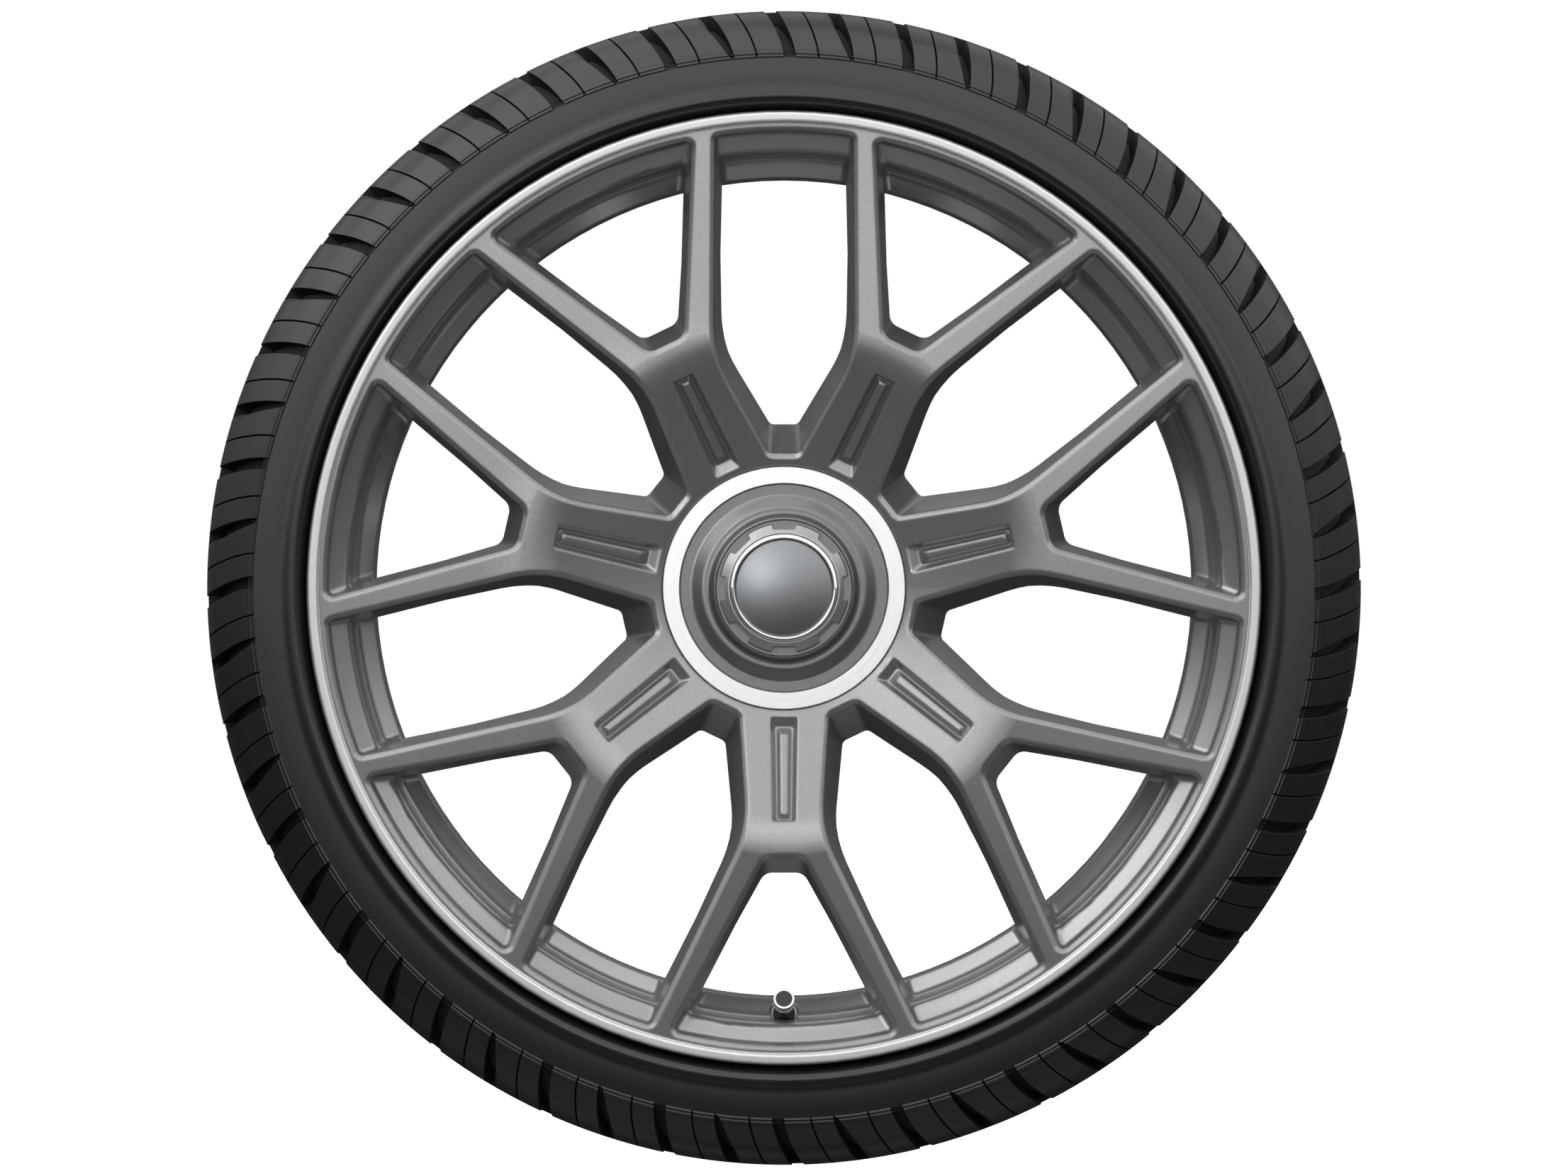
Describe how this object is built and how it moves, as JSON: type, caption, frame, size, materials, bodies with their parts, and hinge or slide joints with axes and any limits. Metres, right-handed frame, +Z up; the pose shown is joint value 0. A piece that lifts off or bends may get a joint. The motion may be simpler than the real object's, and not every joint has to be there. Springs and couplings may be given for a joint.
{
  "type": "forged wheel",
  "caption": "Forged alloy car wheel with forked Y-spokes, bright turned lip, lobed hub cap, valve and low-profile tyre.",
  "frame": {"origin": "wheel centre: on the wheel axis, in the rim's centre plane half way between the flanges", "axes": "+Y along the wheel axis towards the car, the face looks along -Y, +Z up, valve at the bottom"},
  "size_m": [0.699, 0.2748, 0.6988],
  "materials": {
    "wheel_paint": "satin grey paint, lip turned bright",
    "tyre_rubber": "matte black",
    "cap_paint": "satin grey paint",
    "trim_metal": "brushed bright",
    "bezel_chrome": "polished",
    "badge_plastic": "clear-coated grey",
    "spring_steel": "bare wire",
    "valve_metal": "satin",
    "valve_dark": "matte black",
    "seal_rubber": "matte black",
    "core_brass": "bare",
    "inlay_black": "gloss black",
    "sensor_plastic": "matte black",
    "screw_steel": "zinc plated"
  },
  "bodies": {
    "wheel": {"forged_wheel": "wheel_paint", "tyre": "tyre_rubber", "valve_stem": "valve_metal", "valve_grommet": "seal_rubber", "valve_washer": "valve_dark", "valve_nut": "valve_dark", "valve_core": "core_brass", "pressure_sensor": "sensor_plastic", "pressure_sensor_screw": "screw_steel"},
    "hub_cap": {"hub_cap_dish": "cap_paint", "hub_cap_nut": "cap_paint", "hub_cap_trim": "trim_metal", "hub_cap_bezel": "bezel_chrome", "hub_cap_badge": "badge_plastic", "hub_cap_wire": "spring_steel"},
    "cap_seal": {"valve_cap_seal": "seal_rubber"},
    "cap_shell": {"valve_cap": "valve_metal", "valve_cap_inlay": "inlay_black"},
    "core_pin": {"valve_core_pin": "core_brass"}
  },
  "joints": [
    {"name": "hub_cap_pull", "type": "slide", "parent": "wheel", "child": "hub_cap", "axis": [0, -1, 0], "range_m": [0, 0.06]},
    {"name": "valve_cap_lift", "type": "slide", "parent": "wheel", "child": "cap_seal", "axis": [0, -0.9397, 0.342], "range_m": [0, 0.00476]},
    {"name": "valve_cap_turn", "type": "hinge", "parent": "cap_seal", "child": "cap_shell", "pos_m": [0, -0.10967, -0.24978], "axis": [0, -0.9397, 0.342], "range_deg": [0, 2200]},
    {"name": "valve_core_press", "type": "slide", "parent": "wheel", "child": "core_pin", "axis": [0, 0.9397, -0.342], "range_m": [0, 0.0012], "stiffness_N_per_m": 1500, "springref_m": -0.001}
  ],
  "couplings": [
    {"joint": "valve_cap_turn", "follows": "valve_cap_lift", "rad_per_m": 7913.3}
  ]
}
